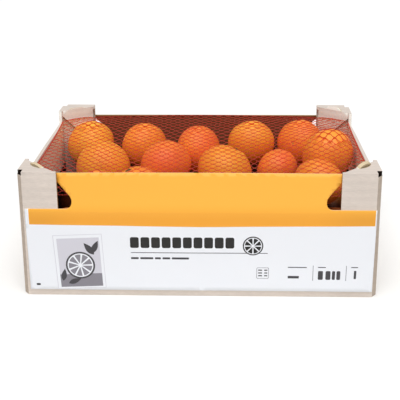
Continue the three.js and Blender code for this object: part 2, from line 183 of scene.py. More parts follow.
class StageLook(bpy.types.PropertyGroup):
    """Floor, light and camera."""
    floor: colour("Floor", "Pale studio floor", "#FCFCFB")
    sky: FloatProperty(
        name="Fill", description="Strength of the even light from all around", default=0.28, min=0)
    key: FloatProperty(
        name="Key", description="Strength of the soft light from above", default=2.75, min=0)
    key_width: FloatProperty(
        name="Softness", description="The angle that the light from above covers",
        default=math.radians(70), unit="ROTATION", subtype="ANGLE")
    camera_at: FloatVectorProperty(
        name="Camera", description="Where the camera stands", default=(0.0235, -0.7772, 0.3381), size=3,
        subtype="TRANSLATION", unit="LENGTH")
    camera_down: FloatProperty(
        name="Down", description="How far the camera looks down",
        default=math.radians(20.58), unit="ROTATION", subtype="ANGLE")
    camera_left: FloatProperty(
        name="Left", description="How far the camera is turned to the left",
        default=math.radians(1.92), unit="ROTATION", subtype="ANGLE")
    camera_roll: FloatProperty(
        name="Roll", description="How far the camera is tipped to the side",
        default=math.radians(-0.375), unit="ROTATION", subtype="ANGLE")
    lens: FloatProperty(
        name="Lens", description="Focal length, on a sensor 36 mm wide", default=77.76, unit="CAMERA")


class MandarinBoxLook(bpy.types.PropertyGroup):
    """All settings of the box of mandarins."""
    tray: PointerProperty(type=TrayLook)
    card: PointerProperty(type=CardLook)
    net: PointerProperty(type=NetLook)
    fruit: PointerProperty(type=FruitLook)
    stage: PointerProperty(type=StageLook)


# ---- Helpers ----

def add(tree, kind, inputs=None, **settings):
    """Adds a shader node with its settings, and sets or links its inputs."""
    made = tree.nodes.new(kind)
    for name, value in settings.items():
        setattr(made, name, value)
    for name, value in (inputs or {}).items():
        if isinstance(value, bpy.types.NodeSocket):
            tree.links.new(value, made.inputs[name])
        else:
            made.inputs[name].default_value = value
    return made


def new_material(name, **sockets):
    """A material whose Principled shader has these socket values."""
    material = bpy.data.materials.new(name)
    material.use_nodes = True
    shader = material.node_tree.nodes["Principled BSDF"]
    for socket, value in sockets.items():
        shader.inputs[socket.replace("_", " ")].default_value = value
    return material, material.node_tree, shader


def new_object(name, mesh, materials, smooth_angle=None):
    """An object from a BMesh or a mesh, linked to the scene."""
    if isinstance(mesh, bmesh.types.BMesh):
        data = bpy.data.meshes.new(name)
        mesh.to_mesh(data)
        mesh.free()
        mesh = data
    for material in materials:
        mesh.materials.append(material)
    made = bpy.data.objects.new(name, mesh)
    bpy.context.scene.collection.objects.link(made)
    if smooth_angle is not None:
        mesh.shade_smooth()
        mesh.set_sharp_from_angle(angle=smooth_angle)
    return made


def dress(piece, slot, *nodes):
    """The piece rides on the box and stands for the nodes, which it hides. The slot is not used."""
    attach(piece, "root")
    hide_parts(*nodes)


def grid_of(low, high, step):
    """Evenly spaced places between two ends, without them."""
    count = max(1, round(abs(high - low) / step))
    return [low + (high - low) * k / count for k in range(1, count)]


def cut_by_plane(mesh, place, normal):
    """Cuts every face of a BMesh by a plane."""
    everything = mesh.verts[:] + mesh.edges[:] + mesh.faces[:]
    bmesh.ops.bisect_plane(mesh, geom=everything, plane_co=place, plane_no=normal)


def cut_into_grid(mesh, axis, places):
    """Cuts every face of a BMesh by planes across one axis."""
    normal = Vector((0, 0, 0))
    normal[axis] = 1
    for place in places:
        cut_by_plane(mesh, normal * place, normal)


def join_rings(mesh, rings, material_index=0):
    """Joins each ring of points of a BMesh to the next with faces."""
    for before, after in zip(rings, rings[1:]):
        for k in range(len(before)):
            face = mesh.faces.new((before[k - 1], before[k], after[k], after[k - 1]))
            face.material_index = material_index


def toned(hue, factor):
    """A colour made darker or lighter."""
    return (*(min(1, c * factor) for c in hue[:3]), 1)


def set_stops(ramp, stops):
    """Sets the places and colours along a colour ramp."""
    for element, (position, hue) in zip(ramp.color_ramp.elements, stops):
        element.position = position
        element.color = hue


# ---- Tray ----

OUTER_LINER, INNER_KRAFT, CUT_EDGE, FOLD_STRIP_SHADE, TAB_PAPER, LINER_PAINTED_LIGHT, PAINTED_SHADE_KRAFT = range(7)

POST_TOP = 111.5 * MM
POST_INNER = 116.4 * MM           # a post reaches from here to the end wall
BACK_WALL = 105 * MM              # the inner face of the back wall is behind this
FILLED_TO = 55 * MM               # below this the inside of the tray is hidden by fruit, and its walls get painted shade
FLAPS = POST_TOP - 7 * MM         # above this every narrow face is part of a flap or a tab
TABS = POST_TOP + 0.15 * MM       # above this there are only tabs
STRIP_REACH = 8 * MM              # from the end of the tray to the edge of a corner strip
HOLE_REACH_X = 6.2 * MM           # from the end of the tray to the end of its small corner hole
HOLE_REACH_Y = 9 * MM
HOLE_FOOT = POST_TOP - 3.4 * MM   # of the small hole where each top flap meets its corner strip
HOLE_DEPTH = 3 * MM
EDGE_SINK = 1.4 * MM              # how deep one sees into a cut edge
WARP_PITCH = 70 * MM
WARP_GRID = 14 * MM
STIFF_FOOT = 20 * MM              # the board bows fully above this height, and not at all at the floor
# Ends of the crease of each top flap, at the end wall and at the flange, how many degrees its tab is folded
# out, and how much longer it is than it stands.
CREASES = [((150, 81.5), (117, 104.5), 20, 1.1), ((-150, 81.5), (-117, 104.5), 10, 1.0),
           ((-150, -75), (-117, -111), 8, 1.0), ((150, -75), (117, -111), 24, 1.2)]
# Corners of the flaps that have sunk or risen: the place, how far up and how wide.
SETTLED = [((150.0, 84.0, 111.5), -1.3, 22.0), ((-150.0, 84.0, 111.5), 0.7, 22.0),
           ((-128.0, -92.0, 111.5), -0.8, 14.0)]
# The inner ply of the right back post: its ends at the end wall and at the panel, and the way it faces.
PLY_AT_WALL = (146.9, 87.5)
PLY_AT_PANEL = (132.4, 97.6)
PLY_BACK = (0.571, 0.821)
PLY = 1.2 * MM
PLY_FOOT = 3.2 * MM
PLY_TOP = 107 * MM


def bleached_liner(look, name, base):
    """Bleached paper liner glued over flutes: pale and matt, with faint lines a flute apart, which are
    painted shade of the flute ridges over their bump.
    """
    fibre_pitch = 1.5 * MM
    cloud_pitch = 28 * MM
    material, tree, shader = new_material(name, Roughness=0.85, Specular_IOR_Level=0.25)
    place = add(tree, "ShaderNodeTexCoord").outputs["Object"]
    across = add(tree, "ShaderNodeAttribute", attribute_name="across_flutes").outputs["Fac"]
    turns = add(tree, "ShaderNodeMath", {
        0: across, 1: 2 * math.pi / look.flute_pitch}, operation="MULTIPLY")
    ridge = add(tree, "ShaderNodeMath", {0: turns.outputs[0]}, operation="SINE")
    stretched = add(tree, "ShaderNodeMapping", {"Vector": place, "Scale": (0.3, 1.0, 1.4)})
    fibres = add(tree, "ShaderNodeTexNoise", {
        "Vector": stretched.outputs[0], "Scale": 1 / fibre_pitch, "Detail": 5.0, "Roughness": 0.65})
    clouds = add(tree, "ShaderNodeTexNoise", {"Vector": place, "Scale": 1 / cloud_pitch, "Detail": 2.0})
    # Painted shade: the colour follows the flute ridges, as light would across their relief.
    tone = add(tree, "ShaderNodeMath", {
        0: ridge.outputs[0], 1: 0.07, 2: fibres.outputs["Fac"]}, operation="MULTIPLY_ADD")
    cloudy = add(tree, "ShaderNodeMath", {
        0: clouds.outputs["Fac"], 1: 0.6, 2: tone.outputs[0]}, operation="MULTIPLY_ADD")
    ramp = add(tree, "ShaderNodeValToRGB", {"Fac": cloudy.outputs[0]})
    set_stops(ramp, [(0.4, toned(base, 0.87)), (1.0, toned(base, 1.07))])
    tree.links.new(ramp.outputs["Color"], shader.inputs["Base Color"])
    relief = add(tree, "ShaderNodeMath", {
        0: ridge.outputs[0], 1: 0.5, 2: fibres.outputs["Fac"]}, operation="MULTIPLY_ADD")
    bump = add(tree, "ShaderNodeBump", {
        "Height": relief.outputs[0], "Distance": 0.12 * MM, "Strength": 0.6})
    tree.links.new(bump.outputs[0], shader.inputs["Normal"])
    return material


def unbleached_kraft(name, hue, contrast):
    """Unbleached kraft paper: brown and matt, flecked with darker fibres."""
    fibre_pitch = 1.2 * MM
    material, tree, shader = new_material(name, Roughness=0.9, Specular_IOR_Level=0.2)
    place = add(tree, "ShaderNodeTexCoord").outputs["Object"]
    fibres = add(tree, "ShaderNodeTexNoise", {
        "Vector": place, "Scale": 1 / fibre_pitch, "Detail": 6.0, "Roughness": 0.7})
    ramp = add(tree, "ShaderNodeValToRGB", {"Fac": fibres.outputs["Fac"]})
    set_stops(ramp, [(0.3, toned(hue, 1 - contrast)), (0.75, toned(hue, 1 + contrast))])
    tree.links.new(ramp.outputs["Color"], shader.inputs["Base Color"])
    bump = add(tree, "ShaderNodeBump", {
        "Height": fibres.outputs["Fac"], "Distance": 0.15 * MM, "Strength": 0.5})
    tree.links.new(bump.outputs[0], shader.inputs["Normal"])
    return material


def flat_faces(node):
    """The node's mesh with each flat face whole again, as a BMesh."""
    mesh = bmesh.new()
    mesh.from_mesh(frame["nodes"][node].data)
    bmesh.ops.remove_doubles(mesh, verts=mesh.verts, dist=WELD)
    bmesh.ops.dissolve_limit(
        mesh, angle_limit=math.radians(0.5), verts=mesh.verts, edges=mesh.edges, delimit=set())
    return mesh


def part_posts_from_wall(mesh):
    """Cuts the inner face of the back wall where the posts begin."""
    for side in (-1, 1):
        wall = [face for face in mesh.faces
                if face.normal.y < -FACING and face.calc_center_median().y > BACK_WALL]
        edges = dict.fromkeys(edge for face in wall for edge in face.edges)
        verts = dict.fromkeys(vert for face in wall for vert in face.verts)
        bmesh.ops.bisect_plane(
            mesh, geom=[*verts, *edges, *wall], plane_co=(side * POST_INNER, 0, 0), plane_no=(1, 0, 0))


def side_of_board(face, board):
    """Which side of the board a face of the tray shows, or the painted shade or painted light that it gets.
    """
    normal = face.normal
    middle = face.calc_center_median()
    from_end = TRAY_HIGH.x - abs(middle.x)
    from_side = TRAY_HIGH.y - abs(middle.y)
    longest = max(edge.calc_length() for edge in face.edges)
    is_narrow = face.calc_area() / longest < 1.15 * board
    faces_out = normal.x * middle.x + normal.y * middle.y > 0
    is_wall_top = normal.z > FACING and from_end < 2 * board
    is_at_hole = from_end < HOLE_REACH_X and from_side < HOLE_REACH_Y
    # Painted shade: the small corner holes are coloured near-black.
    if is_at_hole and HOLE_FOOT < middle.z < POST_TOP + 0.1 * MM:
        return PAINTED_SHADE_KRAFT
    if middle.z > TABS:
        # Painted light on the inward faces of the tabs.
        return TAB_PAPER if faces_out or normal.z > 0.3 else LINER_PAINTED_LIGHT
    if is_narrow and middle.z < FLAPS and not is_wall_top:
        return CUT_EDGE
    if abs(normal.z) > FACING:
        is_outside = middle.z < 1 * MM or middle.z > POST_TOP - board / 2 or is_wall_top
        return OUTER_LINER if is_outside else INNER_KRAFT
    is_slanting = min(abs(normal.x), abs(normal.y)) > 0.4
    if is_slanting and from_end < STRIP_REACH:
        # Painted shade on the outer faces of the folded corner strips.
        return FOLD_STRIP_SHADE if faces_out else INNER_KRAFT
    if is_slanting:
        # Painted light on the inward faces of the slanting panels.
        return TAB_PAPER if faces_out else LINER_PAINTED_LIGHT
    if faces_out:
        return OUTER_LINER
    if abs(middle.x) < POST_INNER:
        return INNER_KRAFT
    # Inner walls of the posts and ends: painted shade below the fruit's shoulders, painted light above.
    return PAINTED_SHADE_KRAFT if middle.z < FILLED_TO else LINER_PAINTED_LIGHT


def fold_tabs_out(mesh):
    """Folds each half-moon tab out over the hole it was cut from."""
    for (x0, y0), (x1, y1), degrees, stretch in CREASES:
        start = Vector((x0, y0)) * MM
        along = (Vector((x1, y1)) * MM - start).normalized()
        out = Vector((-along.y, along.x))
        out *= math.copysign(1, out.x * x0)
        tab = [vert for vert in mesh.verts
               if vert.co.z > POST_TOP + 0.1 * MM and vert.co.x * x0 > 0 and vert.co.y * y0 > 0]
        inside = min((vert.co.xy - start).dot(out) for vert in tab)
        turn = math.radians(degrees)
        for vert in tab:
            through = (vert.co.xy - start).dot(out) - inside
            length = (vert.co.z - POST_TOP) * stretch
            shift = through * math.cos(turn) + length * math.sin(turn) - through
            vert.co += Vector((*(out * shift), 0))
            vert.co.z = POST_TOP + length * math.cos(turn) - through * math.sin(turn) * min(1, length / MM)


def open_corner_holes(mesh):
    """Sinks the small holes where the top flaps meet the corner strips, whose faces carry painted shade."""
    for face in [face for face in mesh.faces if face.material_index == PAINTED_SHADE_KRAFT and face.normal.z > FACING]:
        bmesh.ops.inset_individual(mesh, faces=[face], thickness=0.3 * MM, depth=0)
        for vert in face.verts:
            vert.co.z -= HOLE_DEPTH


def line_back_posts(mesh):
    """Adds the inner ply of each back post, which shows under the slanting edge of its panel."""
    for side in (-1, 1):
        at_wall, at_panel = (Vector((side * x, y, 0)) * MM for x, y in (PLY_AT_WALL, PLY_AT_PANEL))
        back = Vector((side * PLY_BACK[0], PLY_BACK[1], 0)) * PLY
        outline = [at_wall, at_panel, at_panel + back, at_wall + back]
        low, high = ([mesh.verts.new(point + Vector((0, 0, z))) for point in outline]
                     for z in (PLY_FOOT, PLY_TOP))
        faces = [mesh.faces.new((low[k - 1], low[k], high[k], high[k - 1])) for k in range(4)]
        faces += [mesh.faces.new(low), mesh.faces.new(high)]
        bmesh.ops.recalc_face_normals(mesh, faces=faces)
        for face in faces:
            # Painted light: the ply takes the lightened liner.
            face.material_index = LINER_PAINTED_LIGHT


def warp_board(mesh, depth):
    """Bows the walls a little and settles the corners of the flaps, as handled board does."""
    pattern = Vector((4.1, 0.7, 2.9))
    for vert in mesh.verts:
        shift = noise.noise_vector(vert.co / WARP_PITCH + pattern) * depth
        for place, rise, width in SETTLED:
            away = (vert.co - Vector(place) * MM).length / (width * MM)
            shift.z += rise * MM * math.exp(-away ** 2)
        vert.co += shift * min(1, vert.co.z / STIFF_FOOT)


def mark_flutes(mesh):
    """Keeps at each face corner how far it lies across the flutes, for the shader to read."""
    across = mesh.loops.layers.float.new("across_flutes")
    for face in mesh.faces:
        axis = 1 if abs(face.normal.z) > 0.7 else 2
        for loop in face.loops:
            loop[across] = loop.vert.co[axis]


def round_the_folds(mesh, radius):
    """Rounds the board where it is folded, but not where it is cut."""
    folds = []
    for edge in mesh.edges:
        if len(edge.link_faces) != 2 or edge.calc_length() < 4 * radius:
            continue
        sides = {face.material_index for face in edge.link_faces}
        if not sides & {CUT_EDGE, TAB_PAPER} and edge.calc_face_angle_signed() > math.radians(25):
            folds.append(edge)
    bmesh.ops.bevel(
        mesh, geom=folds, offset=radius, segments=3, profile=0.5, affect="EDGES", clamp_overlap=True)


def add_flutes(mesh, middle, along, across, out, run, height, pitch, depth):
    """A wavy paper ribbon between the two liners, seen end on in a cut edge."""
    points_per_flute = 10
    steps = max(4, round(run / pitch * points_per_flute))
    half_paper = 0.16 * MM
    rings = []
    for k in range(steps + 1):
        t = k / steps * run
        turn = 2 * math.pi * t / pitch
        wave = math.sin(turn) * (height / 2 - half_paper)
        slope = math.cos(turn) * (height / 2) * 2 * math.pi / pitch
        sideways = (across - along * slope).normalized() * half_paper
        at = middle + along * (t - run / 2) + across * wave
        corners = [at + sideways, at - sideways, at - sideways - out * depth, at + sideways - out * depth]
        rings.append([mesh.verts.new(corner) for corner in corners])
    join_rings(mesh, rings[::-1], INNER_KRAFT)
    for ring in (rings[0][::-1], rings[-1]):
        mesh.faces.new(ring).material_index = INNER_KRAFT


def open_cut_edges(mesh, look):
    """Sinks the middle of each straight cut edge between its liners, with flutes where it is upright."""
    paper = 0.4 * MM
    shortest, narrowest = 8 * MM, 2.5 * MM
    ribbons = []
    edges = [face for face in mesh.faces if face.material_index == CUT_EDGE and len(face.verts) == 4]
    for face in edges:
        sides = sorted(face.edges, key=lambda edge: edge.calc_length())
        short, long = sides[0].calc_length(), sides[-1].calc_length()
        if short < narrowest or long < shortest:
            continue
        along = (sides[-1].verts[1].co - sides[-1].verts[0].co).normalized()
        out = face.normal.copy()
        bmesh.ops.inset_individual(mesh, faces=[face], thickness=paper, depth=0)
        for vert in face.verts:
            vert.co -= out * EDGE_SINK
        face.material_index = INNER_KRAFT
        is_across_flutes = abs(along.z) > 0.7
        if is_across_flutes:
            middle = face.calc_center_median() + out * EDGE_SINK
            ribbons.append((middle, along, out.cross(along), out, long - 2 * paper, short - 2 * paper))
    for middle, along, across, out, run, height in ribbons:
        add_flutes(mesh, middle, along, across, out, run, height, look.flute_pitch, EDGE_SINK)


class MANDARINS_OT_tray(bpy.types.Operator):
    """Corrugated tray with rounded folds, liners outside, kraft inside and flutes in its cut edges, with
    painted shade and painted light in places
    """
    bl_idname = "mandarins.tray"
    bl_label = "Tray"

    def execute(self, context):
        look = context.scene.mandarin_box.tray
        noise.seed_set(NOISE_SEED)
        mesh = flat_faces("tray")
        cut_into_grid(mesh, 2, [FILLED_TO, POST_TOP + 0.02 * MM])
        part_posts_from_wall(mesh)
        for face in mesh.faces:
            face.material_index = side_of_board(face, look.board)
        open_corner_holes(mesh)
        round_the_folds(mesh, look.fold_radius)
        open_cut_edges(mesh, look)
        fold_tabs_out(mesh)
        line_back_posts(mesh)
        mesh.normal_update()
        mark_flutes(mesh)
        bmesh.ops.triangulate(mesh, faces=mesh.faces)
        for axis in range(3):
            cut_into_grid(mesh, axis, grid_of(TRAY_LOW[axis], TRAY_HIGH[axis], WARP_GRID))
        warp_board(mesh, look.warp)
        materials = [
            bleached_liner(look, "bleached liner over flutes", look.liner_colour),
            unbleached_kraft("unbleached kraft liner", look.kraft_colour, 0.25),
            unbleached_kraft("cut corrugated board", look.edge_colour, 0.3),
            # painted shade on the fold strips
            bleached_liner(look, "bleached liner, crushed in the fold", look.fold_strip_shade_colour),
            unbleached_kraft("pale kraft of the tabs", look.tab_colour, 0.12),
            # painted light
            bleached_liner(look, "liner lightened as painted light", look.liner_painted_light_colour),
            # painted shade
            unbleached_kraft("kraft darkened as painted shade", look.painted_shade_colour, 0.2),
        ]
        tray = new_object("corrugated_tray", mesh, materials, smooth_angle=math.radians(35))
        weighted = tray.modifiers.new("flat faces stay flat", "WEIGHTED_NORMAL")
        weighted.keep_sharp = True
        dress(tray, "board", "tray")
        return {"FINISHED"}


# ---- Front card ----

CARD_FOOT = CARD_LOW.z
CARD_FACE = CARD_LOW.y
CARD_HALF = 118.2 * MM        # half the width of the leaning part
WING_TOP = 79.7 * MM          # top of the card beside the windows
WINDOW_OUTER = 111.5 * MM     # the window's foot runs from here
WINDOW_INNER = 105.5 * MM     # to the window's inner edge
WINDOW_TOP = 98.3 * MM        # along the card from its foot
SHOULDER = 104.4 * MM
ARCH = 0.4 * MM
BEND_RADIUS = 7 * MM
BEND_STEP = 0.5 * MM          # the card is cut this finely where it bends
HIGHLIGHT_BAND = 0.45 * MM           # the band along the front edge that gets the painted highlight
MARGIN_LEFT = 3.1 * MM        # unprinted margins
MARGIN_RIGHT = 1.0 * MM
FIELD_TILT = 1.6 * MM         # the border of the white field climbs to both ends
# The heights of the card's waves, and how far apart they are across the card and along it.
RIPPLE = (0.22 * MM, 38 * MM, 15 * MM)
BUCKLE = (0.30 * MM, 90 * MM, 45 * MM)
SET_BACK = 0.2 * MM           # keeps the waves behind the front of the card's solid


def quadratic(start, control, end, steps=8):
    """Points of a curve from start to end, without the start."""
    points = []
    for k in range(1, steps + 1):
        t = k / steps
        points.append(tuple(
            a * (1 - t) ** 2 + 2 * b * t * (1 - t) + c * t ** 2 for a, b, c in zip(start, control, end)))
    return points


def card_outline():
    """Outline of the flat card: across, and along from its foot."""
    wing = WING_TOP - CARD_FOOT
    right = [(CARD_HIGH.x, 0), (CARD_HIGH.x, wing), (WINDOW_OUTER, wing)]
    side, shoulder = (WINDOW_INNER, wing + 6.3 * MM), (WINDOW_INNER + 1.9 * MM, wing + 11.2 * MM)
    right += quadratic((WINDOW_OUTER, wing), (WINDOW_INNER, wing), side)
    right += quadratic(side, (WINDOW_INNER, wing + 8.6 * MM), shoulder, steps=4)
    right += [(CARD_HALF, WINDOW_TOP), (CARD_HALF, SHOULDER)]
    top = quadratic((CARD_HALF, SHOULDER), (0, SHOULDER + 2 * ARCH), (-CARD_HALF, SHOULDER), steps=24)[:-1]
    left = [(-x, s) for x, s in right[::-1]]
    left[-2:] = [(CARD_LOW.x, wing), (CARD_LOW.x, 0)]
    return right + top + left


def on_card(look, across, along, lift):
    """The place in the box of a point of the flat card, lifted off its printed face."""
    bend = look.bend_height - CARD_FOOT
    arc = BEND_RADIUS * look.lean
    past = along - (bend - arc / 2)
    if past <= 0:
        y, z, turn = 0.0, along, 0.0
    else:
        turn = min(past, arc) / BEND_RADIUS
        rest = max(0, past - arc)
        y = BEND_RADIUS * (1 - math.cos(turn)) + rest * math.sin(turn)
        z = bend - arc / 2 + BEND_RADIUS * math.sin(turn) + rest * math.cos(turn)
    out = lift - SET_BACK
    for (height, pitch_across, pitch_along), pattern in ((RIPPLE, 3.7), (BUCKLE, 9.1)):
        out += height * noise.noise(Vector((across / pitch_across, along / pitch_along, pattern)))
    return Vector((across, CARD_FACE + y - out * math.cos(turn), CARD_FOOT + z + out * math.sin(turn)))


def lay_on_card(mesh, look, lift=0.0):
    """Cuts a flat BMesh finely enough to bend, and lays it on the card."""
    mesh.normal_update()
    bmesh.ops.triangulate(mesh, faces=mesh.faces)
    low = min(vert.co.y for vert in mesh.verts)
    high = max(vert.co.y for vert in mesh.verts)
    cut_into_grid(mesh, 0, grid_of(CARD_LOW.x, CARD_HIGH.x, 5 * MM))
    cut_into_grid(mesh, 1, grid_of(low, high, 4 * MM))
    bend = look.bend_height - CARD_FOOT
    if high > bend:
        cut_into_grid(mesh, 1, grid_of(bend - 2 * MM, bend + 2 * MM, BEND_STEP))
    for vert in mesh.verts:
        vert.co = on_card(look, vert.co.x, vert.co.y, vert.co.z + lift)


def printed_face(name, hue, roughness):
    """Ink under a water-based varnish on coated card: even colour with a soft, broad shine."""
    mottle_pitch = 1.4 * MM
    material, tree, shader = new_material(
        name, Base_Color=hue, Roughness=roughness, Specular_IOR_Level=0.4, Coat_Weight=0.08,
        Coat_Roughness=0.35)
    place = add(tree, "ShaderNodeTexCoord").outputs["Object"]
    mottle = add(tree, "ShaderNodeTexNoise", {"Vector": place, "Scale": 1 / mottle_pitch, "Detail": 4.0})
    bump = add(tree, "ShaderNodeBump", {
        "Height": mottle.outputs["Fac"], "Distance": 0.03 * MM, "Strength": 0.4})
    tree.links.new(bump.outputs[0], shader.inputs["Normal"])
    return material


# Places in the card's list of materials.
YELLOW, WHITE, REVERSE, CUT_EDGE_AND_HIGHLIGHT = 0, 1, 2, 4


def yellow_face(look):
    """The field of yellow ink, darker below the bend and darkest at the two ends of the lower strip, as
    painted shade.
    """
    material = printed_face("yellow ink on coated card", look.yellow, 0.5)
    tree = material.node_tree
    place = add(tree, "ShaderNodeTexCoord").outputs["Object"]
    part = add(tree, "ShaderNodeSeparateXYZ", {0: place})
    # Painted shade: the ink darkens below the bend and towards the flanges.
    above = add(tree, "ShaderNodeMapRange", {
        "Value": part.outputs["Z"], "From Min": look.bend_height - 7 * MM,
        "From Max": look.bend_height + 8 * MM}, interpolation_type="SMOOTHSTEP")
    sideways = add(tree, "ShaderNodeMath", {0: part.outputs["X"]}, operation="ABSOLUTE")
    at_end = add(tree, "ShaderNodeMapRange", {
        "Value": sideways.outputs[0], "From Min": 95 * MM,
        "From Max": 135 * MM}, interpolation_type="SMOOTHSTEP")
    lower = add(tree, "ShaderNodeMix", {
        "Factor": at_end.outputs[0], 6: look.yellow_painted_shade_below, 7: look.yellow_painted_shade_ends}, data_type="RGBA")
    ink = add(tree, "ShaderNodeMix", {
        "Factor": above.outputs[0], 6: lower.outputs[2], 7: look.yellow}, data_type="RGBA")
    tree.links.new(ink.outputs[2], tree.nodes["Principled BSDF"].inputs["Base Color"])
    return material


class MANDARINS_OT_card(bpy.types.Operator):
    """Printed front card, bent back above the windows, with a yellow and a white field"""
    bl_idname = "mandarins.card"
    bl_label = "Front card"

    def execute(self, context):
        look = context.scene.mandarin_box.card
        mesh = bmesh.new()
        mesh.faces.new([mesh.verts.new((x, s, 0)) for x, s in card_outline()])
        is_rim = mesh.faces.layers.int.new("rim")
        for face in bmesh.ops.inset_region(mesh, faces=mesh.faces, thickness=HIGHLIGHT_BAND, depth=0)["faces"]:
            face[is_rim] = 1
        mesh.normal_update()
        bmesh.ops.triangulate(mesh, faces=mesh.faces)
        border = look.field_height - CARD_FOOT
        tilt = FIELD_TILT / CARD_HIGH.x
        for side in (-1, 1):
            cut_by_plane(mesh, (0, border, 0), (-side * tilt, 1, 0))
        left, right = CARD_LOW.x + MARGIN_LEFT, CARD_HIGH.x - MARGIN_RIGHT
        cut_into_grid(mesh, 0, (left, 0, right))
        for face in mesh.faces:
            x, s = face.calc_center_median()[:2]
            is_yellow = left < x < right and s > border + abs(x) * tilt
            if is_yellow:
                # Painted highlight: a bright band along the edge of the yellow field.
                face.material_index = CUT_EDGE_AND_HIGHLIGHT if face[is_rim] else YELLOW
            else:
                face.material_index = WHITE
        lay_on_card(mesh, look)
        bmesh.ops.recalc_face_normals(mesh, faces=mesh.faces)
        if sum(face.normal.y for face in mesh.faces) > 0:
            bmesh.ops.reverse_faces(mesh, faces=mesh.faces)
        reverse, _, _ = new_material("uncoated back of the card", Base_Color=look.reverse, Roughness=0.85)
        # the cut edge, whose colour is also the painted highlight on the front
        cut, _, _ = new_material("die-cut edge of the card and its painted highlight", Base_Color=look.rim, Roughness=0.8)
        materials = [yellow_face(look), printed_face("white coated card", look.white, 0.45),
                     reverse, reverse, cut, cut, cut]
        card = new_object("printed_front_card", mesh, materials, smooth_angle=math.radians(40))
        solid = card.modifiers.new("thickness", "SOLIDIFY")
        solid.thickness = look.thickness
        solid.offset = -1
        solid.material_offset = REVERSE
        solid.material_offset_rim = CUT_EDGE_AND_HIGHLIGHT
        dress(card, "card", "card")
        return {"FINISHED"}


# ---- Print on the card ----

BLACK, DARK, MIDDLE, PALE, PAPER = range(5)


def block(x0, z0, x1, z1, corner=0.0):
    """A bar or block with round corners, in millimetres on the upright part of the card."""
    if corner == 0:
        return [(x0, z0), (x1, z0), (x1, z1), (x0, z1)]
    points = []
    middles = [(x1 - corner, z0 + corner, -90), (x1 - corner, z1 - corner, 0),
               (x0 + corner, z1 - corner, 90), (x0 + corner, z0 + corner, 180)]
    for x, z, start in middles:
        for k in range(5):
            angle = math.radians(start + k * 22.5)
            points.append((x + corner * math.cos(angle), z + corner * math.sin(angle)))
    return points


def disc(x, z, radius, steps=40):
    """A round spot."""
    turns = [2 * math.pi * k / steps for k in range(steps)]
    return [(x + radius * math.cos(a), z + radius * math.sin(a)) for a in turns]


def segment(x, z, inner, outer, middle, spread):
    """One segment of a cut fruit: a wedge with a blunt tip."""
    tip = [(x + inner * math.cos(middle), z + inner * math.sin(middle))]
    rim = [middle + spread * (k / 6 - 0.5) for k in range(7)]
    return tip + [(x + outer * math.cos(a), z + outer * math.sin(a)) for a in rim]


def leaf(x, z, run, width, angle):
    """A pointed leaf from its stalk."""
    points = []
    for side in (1, -1):
        ends = range(0, 9) if side == 1 else range(7, 0, -1)
        for k in ends:
            t = k / 8
            u, v = run * t, side * width / 2 * math.sin(math.pi * t ** 0.8)
            points.append((x + u * math.cos(angle) - v * math.sin(angle),
                           z + u * math.sin(angle) + v * math.cos(angle)))
    return points


def tilted(points, about, angle):
    """Turns points about one of them."""
    x, z = about
    c, s = math.cos(angle), math.sin(angle)
    return [(x + (u - x) * c - (v - z) * s, z + (u - x) * s + (v - z) * c) for u, v in points]


def cut_fruit(x, z, radius, count, rind, pith, flesh):
    """A cut fruit: rind, pith and segments, each with its ink and layer."""
    shapes = [(rind, 1, disc(x, z, radius)), (pith, 2, disc(x, z, radius * 0.88))]
    for k in range(count):
        middle = 2 * math.pi * (k + 0.5) / count
        wedge = segment(x, z, radius * 0.12, radius * 0.8, middle, 2 * math.pi / count * 0.78)
        shapes.append((flesh, 3, wedge))
    return shapes


def picture():
    """A tilted grey picture with a pale edge: a cut fruit between leaves."""
    about = (-101.3, 32.0)
    shapes = [(PALE, 0, block(-122.2, 6.9, -80.6, 56.7)),
              (PAPER, 1, block(-121.7, 7.3, -81.0, 56.3)),
              (PALE, 2, block(-119.2, 8.6, -83.2, 53.6)),
              (MIDDLE, 3, block(-119.2, 8.6, -83.2, 20.5))]
    shapes += [(ink, layer + 3, points) for ink, layer, points in cut_fruit(
        -101.0, 28.5, 12.5, 9, DARK, PAPER, MIDDLE)]
    leaves = [(-88.5, 38.0, 13.5, 5.5, 2.2), (-90.0, 39.5, 12.5, 5.0, 1.1), (-112.5, 12.0, 12.0, 4.6, 0.35),
              (-117.0, 14.5, 11.5, 4.6, 1.35)]
    shapes += [(DARK, 4, leaf(*place)) for place in leaves]
    return [(ink, layer, tilted(points, about, math.radians(2.4))) for ink, layer, points in shapes]


def title_row():
    """A row of bold blocks over a thin rule, and a row of small bars under it."""
    first, last, foot, top = -57.9, 29.7, 44.9, 54.8
    count, gap = 10, 1.5
    pitch = (last - first + gap) / count
    shapes = [(BLACK, 0, block(first + k * pitch, foot, first + (k + 1) * pitch - gap, top, 1.6))
              for k in range(count)]
    shapes.append((DARK, 0, block(-57.4, 40.3, 57.8, 40.9)))
    bars = [(-57.5, 6.5), (-49.6, 11.0), (-37.2, 5.0), (-30.8, 6.5), (-22.9, 14.5)]
    shapes += [(DARK, 0, block(x, 34.6, x + run, 36.4, 0.6)) for x, run in bars]
    return shapes


